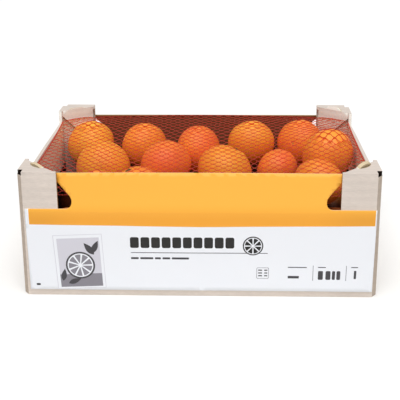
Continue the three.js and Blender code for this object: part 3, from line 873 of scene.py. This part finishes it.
def corner_marks():
    """Small ruled boxes, bars and numbers' places at the lower right, and a tiny mark at the left."""
    shapes = [(MIDDLE, 0, block(48.7, 17.2, 59.1, 27.5, 1.0)),
              (PAPER, 1, block(49.1, 17.6, 58.7, 27.1, 0.8))]
    for row in (19.4, 22.0, 24.6):
        for left, right in ((50.1, 53.4), (55.2, 57.9)):
            shapes.append((DARK, 2, block(left, row, right, row + 1.0)))
    thin = [(75.0, 27.6, 91.0, 28.4), (75.2, 17.7, 84.6, 20.0), (100.4, 27.7, 107.0, 28.5),
            (128.2, 27.9, 134.0, 28.7)]
    shapes += [(DARK, 0, block(*bar, 0.3)) for bar in thin]
    shapes += [(MIDDLE, 0, block(x, 15.7, x + 0.5, 29.8)) for x in (96.1, 124.0)]
    tall = [(100.6, 4.2), (107.0, 4.2), (112.4, 2.6), (116.2, 3.2)]
    shapes += [(DARK, 0, block(x, 16.6, x + run, 24.8, 1.0)) for x, run in tall]
    shapes.append((DARK, 0, block(130.8, 17.6, 132.8, 25.2, 0.5)))
    shapes.append((BLACK, 0, block(-139.6, 9.5, -136.2, 11.3, 0.5)))
    return shapes


class MANDARINS_OT_print(bpy.types.Operator):
    """Plain shapes printed on the white field of the card"""
    bl_idname = "mandarins.print"
    bl_label = "Print"

    def execute(self, context):
        look = context.scene.mandarin_box.card
        ink_layer = 0.025 * MM
        mesh = bmesh.new()
        shapes = picture() + title_row() + corner_marks()
        shapes += cut_fruit(45.4, 47.3, 8.6, 8, BLACK, PAPER, BLACK)
        for ink, layer, points in shapes:
            lift = ink_layer * (layer + 1)
            verts = [mesh.verts.new((x * MM, z * MM - CARD_FOOT, lift)) for x, z in points]
            face = mesh.faces.new(verts)
            face.material_index = ink
        lay_on_card(mesh, look, 0.01 * MM)
        bmesh.ops.recalc_face_normals(mesh, faces=mesh.faces)
        for face in mesh.faces:
            if face.normal.y > 0:
                face.normal_flip()
        hues = [look.ink, look.dark_ink, look.grey_ink, look.pale_ink, look.white]
        names = ["black ink", "dark grey ink", "grey ink", "pale grey ink", "white of the card"]
        materials = [printed_face(name, hue, 0.45) for name, hue in zip(names, hues)]
        printed = new_object("printed_shapes", mesh, materials)
        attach(printed, "root")
        return {"FINISHED"}


# ---- Mandarins ----

# How ripe each mandarin that shows is: 0 is yellow, 0.5 orange and 1 red.
RIPENESS = {
    "mandarin_01": 0.06, "mandarin_02": 0.28, "mandarin_03": 0.42, "mandarin_04": 0.75, "mandarin_05": 0.86,
    "mandarin_06": 0.78, "mandarin_07": 0.34, "mandarin_08": 0.28, "mandarin_09": 0.82, "mandarin_10": 0.60,
    "mandarin_11": 0.62, "mandarin_12": 0.50,
}
# Places of small greenish scars, on the mandarin that carries them.
SCARS = {
    "mandarin_06": [((3.0, 49.5, 87.5), 1.5), ((0.6, 47.0, 83.0), 1.0)],
    "mandarin_01": [((-110.5, 51.5, 74.0), 1.5)],
}
FLATTENING = 0.9                # height of a mandarin over its width
SHADE_TOP = 60 * MM             # painted shade darkens buried peel below this height
SHADE_RUN = 18 * MM             # and is darkest this far below it
FINE_ABOVE = 45 * MM            # a mandarin whose middle is above this gets all its faces
# Hollows of the peel: how deep they are, and how wide, as an angle at the middle of the fruit.
STEM_HOLLOW = (1.5 * MM, 0.2)
BLOSSOM_HOLLOW = (0.7 * MM, 0.12)
FURROWS = (0.28 * MM, 0.2)
FURROWS_AT = 0.32               # from the stem, as an angle
LUMPS = (0.45 * MM, 1.7)        # how high the swellings of the peel are, and how many there are
DENTS = (0.12 * MM, 4.5)
PEEL_INSET = 0.2 * MM           # keeps the swellings within the solid
BLOSSOM_SCAR = 1.1 * MM


def mandarin_form(name):
    """Centre, stem axis and radius of a mandarin's node, whose poles are where most faces meet."""
    mesh = bmesh.new()
    mesh.from_mesh(frame["nodes"][name].data)
    bmesh.ops.remove_doubles(mesh, verts=mesh.verts, dist=WELD)
    poles = sorted(mesh.verts, key=lambda vert: len(vert.link_edges))[-2:]
    poles.sort(key=lambda vert: vert.co.y)
    blossom, stem = (pole.co.copy() for pole in poles)
    mesh.free()
    centre = (blossom + stem) / 2
    axis = (stem - blossom).normalized()
    radius = (stem - blossom).length / 2 / FLATTENING
    return centre, axis, radius


def bell(angle, width):
    """One at the middle of a hollow, and nothing well outside it."""
    return math.exp(-(angle / width) ** 2)


def peel_height(direction, radius, seed):
    """How far the peel stands out at a direction from the centre, with the stem end up."""
    latitude = math.asin(max(-1, min(1, direction.z)))
    longitude = math.atan2(direction.y, direction.x)
    from_stem = math.pi / 2 - latitude
    from_blossom = math.pi / 2 + latitude
    base = radius * math.sqrt(math.cos(latitude) ** 2 + (FLATTENING * math.sin(latitude)) ** 2)
    ribs = 8 + seed % 4
    furrow = math.cos(ribs * longitude + seed) * bell(from_stem - FURROWS_AT, FURROWS[1])
    lumps = noise.noise(direction * LUMPS[1] + Vector((seed * 3.1, 0, 0)))
    dents = noise.noise(direction * DENTS[1] + Vector((0, seed * 2.3, 0)))
    return (base
            - STEM_HOLLOW[0] * bell(from_stem, STEM_HOLLOW[1])
            - BLOSSOM_HOLLOW[0] * bell(from_blossom, BLOSSOM_HOLLOW[1])
            + FURROWS[0] * furrow
            + LUMPS[0] * lumps
            + DENTS[0] * dents
            - PEEL_INSET)


def mandarin_mesh(form, columns, seed):
    """The peel of one mandarin as rings round its stem axis, with the calyx in the stem's hollow."""
    centre, axis, radius = form
    rows = columns * 5 // 8
    turn = Vector((0, 0, 1)).rotation_difference(axis).to_matrix()
    mesh = bmesh.new()

    def vert_at(latitude, longitude, out=0.0):
        level = math.cos(latitude)
        direction = Vector((level * math.cos(longitude), level * math.sin(longitude), math.sin(latitude)))
        return mesh.verts.new(centre + turn @ (direction * (peel_height(direction, radius, seed) + out)))

    rings = []
    for row in range(1, rows):
        latitude = (row / rows - 0.5) * math.pi
        rings.append([vert_at(latitude, 2 * math.pi * k / columns) for k in range(columns)])
    join_rings(mesh, rings)
    for ring, latitude in ((rings[0][::-1], -math.pi / 2), (rings[-1], math.pi / 2)):
        pole = vert_at(latitude, 0)
        for k in range(columns):
            mesh.faces.new((ring[k - 1], ring[k], pole))
    add_calyx(mesh, vert_at, radius)
    return mesh


def add_calyx(mesh, vert_at, radius):
    """A dried star of five lobes round a short stalk scar."""
    points = 40
    turns = [2 * math.pi * k / points for k in range(points)]
    reach = [(3.4 + 1.1 * math.cos(5 * turn)) * MM / radius for turn in turns]
    # From the rim of the star to the stalk: how far out and how high each ring is.
    levels = [(1.0, -0.2), (0.92, 0.35), (0.5, 0.55), (0.34, 0.9), (0.3, 1.5)]
    rings = [[vert_at(math.pi / 2 - out * share, turn, height * MM) for out, turn in zip(reach, turns)]
             for share, height in levels]
    join_rings(mesh, rings, 1)
    tip = vert_at(math.pi / 2, 0, 1.6 * MM)
    for k in range(points):
        mesh.faces.new((rings[-1][k - 1], rings[-1][k], tip)).material_index = 1


def paint_peel(data, name, form, ripeness, seed):
    """Keeps how ripe and scarred the peel is at each point, and how deep in the heap for its painted shade,
    for the shader to read.
    """
    centre, axis, radius = form
    is_buried = name not in RIPENESS
    kinds = ("deep", "ripeness", "scar")
    for kind in kinds:
        data.attributes.new(kind, "FLOAT", "POINT")
    deep, ripe, scarred = (data.attributes[kind] for kind in kinds)
    offset = Vector((seed * 1.9, seed * 0.7, 0))
    for vert in data.vertices:
        direction = (vert.co - centre).normalized()
        patch = noise.noise(direction * 1.3 + offset) * 0.28 + noise.noise(direction * 5 + offset) * 0.08
        ripe.data[vert.index].value = min(1, max(0, ripeness + patch - 0.10 * direction.dot(axis)))
        blossom = math.acos(max(-1, min(1, -direction.dot(axis)))) * radius
        worst = 0.6 * bell(blossom, BLOSSOM_SCAR)
        for place, size in SCARS.get(name, []):
            worst = max(worst, bell((vert.co - Vector(place) * MM).length, size * MM))
        scarred.data[vert.index].value = worst
        # Painted shade: buried peel darkens with depth.
        if is_buried:
            deep.data[vert.index].value = min(1, max(0, (SHADE_TOP - vert.co.z) / SHADE_RUN))


def mandarin_peel(look):
    """Mandarin peel: waxy and satin, pitted by oil glands, with light scattered in the flesh under it."""
    wave_pitch = 5 * MM
    material, tree, shader = new_material(
        "waxed mandarin peel", Roughness=0.45, IOR=1.45, Specular_IOR_Level=0.35, Subsurface_Weight=0.12,
        Subsurface_Radius=(1.0, 0.35, 0.1), Subsurface_Scale=2.5 * MM, Coat_Weight=0.06, Coat_Roughness=0.3)
    place = add(tree, "ShaderNodeTexCoord").outputs["Object"]
    ripe, scar, deep = (add(tree, "ShaderNodeAttribute", attribute_name=name).outputs["Fac"]
                        for name in ("ripeness", "scar", "deep"))
    ramp = add(tree, "ShaderNodeValToRGB", {"Fac": ripe})
    set_stops(ramp, [(0.0, look.yellow_peel), (1.0, look.red_peel)])
    ramp.color_ramp.elements.new(0.5).color = look.orange_peel
    pores = add(tree, "ShaderNodeTexVoronoi", {"Vector": place, "Scale": 1 / look.pore_pitch})
    pit = add(tree, "ShaderNodeMapRange", {
        "Value": pores.outputs["Distance"], "From Min": 0.05, "From Max": 0.45, "To Min": 1.0,
        "To Max": 0.0})
    shade = add(tree, "ShaderNodeMath", {0: pit.outputs[0], 1: 0.22}, operation="MULTIPLY")
    peel = ramp.outputs["Color"]
    # The last mix is painted shade on buried peel.
    for share, hue in ((shade.outputs[0], look.pores), (scar, look.scars), (deep, look.peel_painted_shade)):
        peel = add(tree, "ShaderNodeMix", {0: share, 6: peel, 7: hue}, data_type="RGBA").outputs[2]
    tree.links.new(peel, shader.inputs["Base Color"])
    waves = add(tree, "ShaderNodeTexNoise", {"Vector": place, "Scale": 1 / wave_pitch, "Detail": 3.0})
    relief = add(tree, "ShaderNodeMath", {
        0: pit.outputs[0], 1: -0.6, 2: waves.outputs["Fac"]}, operation="MULTIPLY_ADD")
    bump = add(tree, "ShaderNodeBump", {
        "Height": relief.outputs[0], "Distance": 0.22 * MM, "Strength": 0.55})
    tree.links.new(bump.outputs[0], shader.inputs["Normal"])
    return material


def dried_calyx(look):
    """Dried green calyx: dull and papery, browner in places."""
    spot_pitch = 1.5 * MM
    material, tree, shader = new_material("dried calyx", Roughness=0.8)
    place = add(tree, "ShaderNodeTexCoord").outputs["Object"]
    spots = add(tree, "ShaderNodeTexNoise", {"Vector": place, "Scale": 1 / spot_pitch, "Detail": 3.0})
    ramp = add(tree, "ShaderNodeValToRGB", {"Fac": spots.outputs["Fac"]})
    set_stops(ramp, [(0.35, look.calyx_brown), (0.65, look.calyx)])
    tree.links.new(ramp.outputs["Color"], shader.inputs["Base Color"])
    return material


class MANDARINS_OT_fruit(bpy.types.Operator):
    """Mandarins with pitted peel, hollow stem ends and dried calyxes"""
    bl_idname = "mandarins.fruit"
    bl_label = "Mandarins"

    def execute(self, context):
        look = context.scene.mandarin_box.fruit
        materials = [mandarin_peel(look), dried_calyx(look)]
        draw = random.Random(5)
        for seed, name in enumerate(MANDARINS):
            ripeness = RIPENESS.get(name, draw.uniform(0.2, 0.8))
            form = mandarin_form(name)
            columns = look.columns if form[0].z > FINE_ABOVE else look.columns * 5 // 9
            mesh = mandarin_mesh(form, columns, seed)
            piece = new_object(f"peeled_round_{name}", mesh, materials, smooth_angle=math.radians(50))
            paint_peel(piece.data, name, form, ripeness, seed)
            dress(piece, "peel", name)
        return {"FINISHED"}


# ---- Net ----

SHEET_STEP = 2.5 * MM
SHEET_ROUNDS = 3000             # enough for the sheet to come to rest
NET_THICKNESS = 0.35 * MM
PULL_PITCH = 55 * MM            # from one place where the net is pulled aside to the next
NODE_HALF = 0.5 * MM            # half the thickness of the net's node
BORDER_STEP = 3 * MM
JOINT_LAP = 0.36                # how much of a joint each of its two strands gives
JOINT_RUN = 1.35                # above 1, two strands run side by side for a little at each joint


def tree_of(objects):
    """One search tree for the surfaces of several objects."""
    verts, faces = [], []
    for piece in objects:
        start = len(verts)
        verts += [vert.co.copy() for vert in piece.data.vertices]
        faces += [[start + k for k in face.vertices] for face in piece.data.polygons]
    return BVHTree.FromPolygons(verts, faces)


def height_at(tree, x, y, missing):
    """Height of the uppermost surface above a point."""
    hit = tree.ray_cast(Vector((x, y, 1.0)), Vector((0, 0, -1)))[0]
    return missing if hit is None else hit.z


class TautSheet:
    """Height of the taut net: held at its edges as the net's node is, and pushed up by the fruit."""

    def __init__(self, clearance):
        fruit = tree_of(piece for piece in bpy.data.objects if "peeled_round" in piece.name)
        node = tree_of([frame["nodes"]["net"]])
        self.xs = np.arange(NET_LOW.x, NET_HIGH.x + SHEET_STEP, SHEET_STEP)
        self.ys = np.arange(NET_LOW.y, NET_HIGH.y + SHEET_STEP, SHEET_STEP)
        shape = (len(self.xs), len(self.ys))
        held = np.zeros(shape)
        heights = np.zeros(shape)
        inside = np.zeros(shape, bool)
        for i, x in enumerate(self.xs):
            for j, y in enumerate(self.ys):
                at_node = height_at(node, x, y, math.nan)
                inside[i, j] = not math.isnan(at_node)
                heights[i, j] = at_node - NODE_HALF
                held[i, j] = height_at(fruit, x, y, 0.0) + clearance
        heights = self.spread_out(heights)
        free = inside.copy()
        free[1:-1, 1:-1] &= inside[:-2, 1:-1] & inside[2:, 1:-1] & inside[1:-1, :-2] & inside[1:-1, 2:]
        free[0, :] = free[-1, :] = free[:, 0] = free[:, -1] = False
        for _ in range(SHEET_ROUNDS):
            mean = heights.copy()
            mean[1:-1, 1:-1] = (heights[:-2, 1:-1] + heights[2:, 1:-1]
                                + heights[1:-1, :-2] + heights[1:-1, 2:]) / 4
            heights = np.where(free, np.maximum(mean, held), heights)
        self.heights = heights

    @staticmethod
    def spread_out(heights):
        """Fills the places outside the net with the heights next to them."""
        while np.isnan(heights).any():
            padded = np.pad(heights, 1, constant_values=math.nan)
            around = np.stack([padded[:-2, 1:-1], padded[2:, 1:-1], padded[1:-1, :-2], padded[1:-1, 2:]])
            known = ~np.isnan(around)
            total = np.where(known, around, 0).sum(0)
            count = known.sum(0)
            fill = np.where(count > 0, total / np.maximum(count, 1), math.nan)
            heights = np.where(np.isnan(heights), fill, heights)
        return heights

    def at(self, x, y):
        """Height of the sheet between its grid points."""
        u = min(max((x - self.xs[0]) / SHEET_STEP, 0), len(self.xs) - 1.001)
        v = min(max((y - self.ys[0]) / SHEET_STEP, 0), len(self.ys) - 1.001)
        i, j = int(u), int(v)
        u, v = u - i, v - j
        h = self.heights
        return ((h[i, j] * (1 - u) + h[i + 1, j] * u) * (1 - v)
                + (h[i, j + 1] * (1 - u) + h[i + 1, j + 1] * u) * v)


# Half the width between the posts' slanting panels, at places from the front to the back.
PANEL_PLACES = [-111.0, -75.0, 81.5, 104.5, 112.5]
PANEL_REACHES = [117.0, 150.0, 150.0, 117.0, 117.0]


def net_reach(y):
    """How far the net reaches to each side at this depth, between the posts' slanting panels."""
    between = float(np.interp(y / MM, PANEL_PLACES, PANEL_REACHES)) * MM
    return min(NET_HIGH.x, between - 0.4 * MM)


def strand_along(mesh, path, widths, height, sides=6):
    """A flattened strand along a path, closed at both ends."""
    rings = []
    for k, point in enumerate(path):
        ahead = path[min(k + 1, len(path) - 1)] - path[max(k - 1, 0)]
        along = ahead.normalized()
        level = Vector((0, 0, 1)).cross(along).normalized()
        up = along.cross(level)
        ring = []
        for side in range(sides):
            angle = 2 * math.pi * side / sides
            offset = level * math.cos(angle) * widths[k] / 2 + up * math.sin(angle) * height / 2
            ring.append(mesh.verts.new(point + offset))
        rings.append(ring)
    join_rings(mesh, rings)
    mesh.faces.new(rings[0])
    mesh.faces.new(rings[-1][::-1])


def net_strands(look, sheet):
    """Wavy strands across the box, each joined to its neighbours in turn."""
    mesh = bmesh.new()
    pitch = look.cell_depth / 2
    swing = pitch / 2 - look.joint * JOINT_LAP
    points_per_cell = 8
    step = look.cell_width / points_per_cell
    count = round((NET_HIGH.y - NET_LOW.y) / pitch)
    for row in range(count + 1):
        middle = NET_LOW.y + (NET_HIGH.y - NET_LOW.y) * row / count
        sense = 1 if row % 2 else -1
        path, widths = [], []
        steps = round(2 * NET_HIGH.x / step)
        for k in range(steps + 1):
            x = NET_LOW.x + 2 * NET_HIGH.x * k / steps
            pull = noise.noise_vector(Vector((x, middle, 0)) / PULL_PITCH) * look.pull
            turn = 2 * math.pi * (x + pull.x) / look.cell_width
            wave = max(-1, min(1, JOINT_RUN * math.cos(turn)))
            y = min(max(middle + pull.y + sense * swing * wave, NET_LOW.y), NET_HIGH.y)
            if abs(x) <= net_reach(y):
                path.append(Vector((x, y, sheet.at(x, y))))
                widths.append(look.strand + (look.joint - look.strand) * wave ** 2)
        if len(path) > 2:
            strand_along(mesh, path, widths, NET_THICKNESS)
    return mesh


def net_border(look, sheet, mesh):
    """A strand all the way round, where the net is glued to the board."""
    low, high = NET_LOW.y, NET_HIGH.y
    depths = [low, *grid_of(low, high, BORDER_STEP), high]
    outline = [(net_reach(y), y) for y in depths]
    outline += [(x, high) for x in grid_of(net_reach(high), -net_reach(high), BORDER_STEP)]
    outline += [(-net_reach(y), y) for y in reversed(depths)]
    outline += [(x, low) for x in grid_of(-net_reach(low), net_reach(low), BORDER_STEP)]
    outline.append(outline[0])
    path = [Vector((x, y, sheet.at(x, y))) for x, y in outline]
    strand_along(mesh, path, [look.joint * 0.8] * len(path), NET_THICKNESS)


def net_plastic(look):
    """Extruded polyethylene strands: smooth and slightly waxy, and thin enough to let red light through."""
    material, tree, shader = new_material(
        "extruded red polyethylene", Base_Color=look.red, Roughness=0.35, IOR=1.5, Specular_IOR_Level=0.5)
    passing = add(tree, "ShaderNodeBsdfTransparent", {"Color": look.passed})
    mixed = add(tree, "ShaderNodeMixShader", {
        "Fac": look.cover, 1: passing.outputs[0], 2: shader.outputs[0]})
    tree.links.new(mixed.outputs[0], tree.nodes["Material Output"].inputs["Surface"])
    return material


class MANDARINS_OT_net(bpy.types.Operator):
    """Red net of wavy, knotted strands, drawn taut over the fruit"""
    bl_idname = "mandarins.net"
    bl_label = "Net"

    def execute(self, context):
        look = context.scene.mandarin_box.net
        noise.seed_set(NOISE_SEED)
        sheet = TautSheet(NET_THICKNESS / 2 + 0.1 * MM)
        mesh = net_strands(look, sheet)
        net_border(look, sheet, mesh)
        net = new_object("red_net", mesh, [net_plastic(look)], smooth_angle=math.radians(80))
        dress(net, "net", "net")
        return {"FINISHED"}


# ---- Stage ----

KEY_DIRECTION = (0.0, 0.4, -1.0)
FLOOR_HALF = 20                 # metres, so that no edge of the floor shows
FLOOR_GAP = 0.1 * MM


def soft_light(name, direction, strength, width):
    """Even light from one side of the studio, as soft as the angle it covers."""
    light = bpy.data.lights.new(name, "SUN")
    light.energy = strength
    light.angle = width
    made = bpy.data.objects.new(name, light)
    made.rotation_euler = Vector(direction).to_track_quat("-Z", "Y").to_euler()
    bpy.context.scene.collection.objects.link(made)


def photo_camera(look):
    """The camera, at the photograph's place and angle."""
    camera = bpy.data.cameras.new("camera")
    camera.sensor_width = 36
    camera.lens = look.lens
    made = bpy.data.objects.new("camera", camera)
    down, left, roll = look.camera_down, look.camera_left, look.camera_roll
    ahead = Vector((-math.sin(left) * math.cos(down), math.cos(left) * math.cos(down), -math.sin(down)))
    level = Vector((math.cos(left), math.sin(left), 0))
    upright = level.cross(ahead)
    right = level * math.cos(roll) + upright * math.sin(roll)
    up = upright * math.cos(roll) - level * math.sin(roll)
    turn = Matrix((right, up, -ahead)).transposed()
    made.matrix_world = Matrix.Translation(Vector(look.camera_at)) @ turn.to_4x4()
    bpy.context.scene.collection.objects.link(made)
    bpy.context.scene.camera = made


class MANDARINS_OT_stage(bpy.types.Operator):
    """Pale floor, soft studio light and the camera"""
    bl_idname = "mandarins.stage"
    bl_label = "Stage"

    def execute(self, context):
        look = context.scene.mandarin_box.stage
        floor_mesh = bmesh.new()
        bmesh.ops.create_grid(floor_mesh, x_segments=1, y_segments=1, size=FLOOR_HALF)
        paper, _, _ = new_material("matt studio paper", Base_Color=look.floor, Roughness=0.95)
        floor = new_object("floor", floor_mesh, [paper])
        floor.location.z = -FLOOR_GAP
        world = bpy.data.worlds.new("studio")
        world.use_nodes = True
        sky = world.node_tree.nodes["Background"]
        sky.inputs["Color"].default_value = (1, 1, 1, 1)
        sky.inputs["Strength"].default_value = look.sky
        context.scene.world = world
        soft_light("key above", KEY_DIRECTION, look.key, look.key_width)
        photo_camera(look)
        context.scene.view_settings.view_transform = "Standard"
        return {"FINISHED"}


# ---- Panel and registration ----

OPERATORS = (
    MANDARINS_OT_tray, MANDARINS_OT_card, MANDARINS_OT_print, MANDARINS_OT_fruit, MANDARINS_OT_net,
    MANDARINS_OT_stage,
)


class MANDARINS_PT_box(bpy.types.Panel):
    """Buttons for each piece, with the settings under them"""
    bl_idname = "MANDARINS_PT_box"
    bl_label = "Box of mandarins"
    bl_space_type = "VIEW_3D"
    bl_region_type = "UI"
    bl_category = "Mandarins"

    def draw(self, context):
        for operator in OPERATORS:
            self.layout.operator(operator.bl_idname)
        settings = context.scene.mandarin_box
        for group in (settings.tray, settings.card, settings.net, settings.fruit, settings.stage):
            section = self.layout.box()
            for name in group.__annotations__:
                section.prop(group, name)


CLASSES = (
    TrayLook, CardLook, NetLook, FruitLook, StageLook, MandarinBoxLook, *OPERATORS, MANDARINS_PT_box,
)


def register():
    for each in CLASSES:
        bpy.utils.register_class(each)
    bpy.types.Scene.mandarin_box = PointerProperty(type=MandarinBoxLook)


def unregister():
    del bpy.types.Scene.mandarin_box
    for each in reversed(CLASSES):
        bpy.utils.unregister_class(each)


def main():
    register()
    bpy.ops.mandarins.stage()
    bpy.ops.mandarins.tray()
    bpy.ops.mandarins.card()
    bpy.ops.mandarins.print()
    bpy.ops.mandarins.fruit()
    bpy.ops.mandarins.net()


if __name__ == "__main__":
    main()
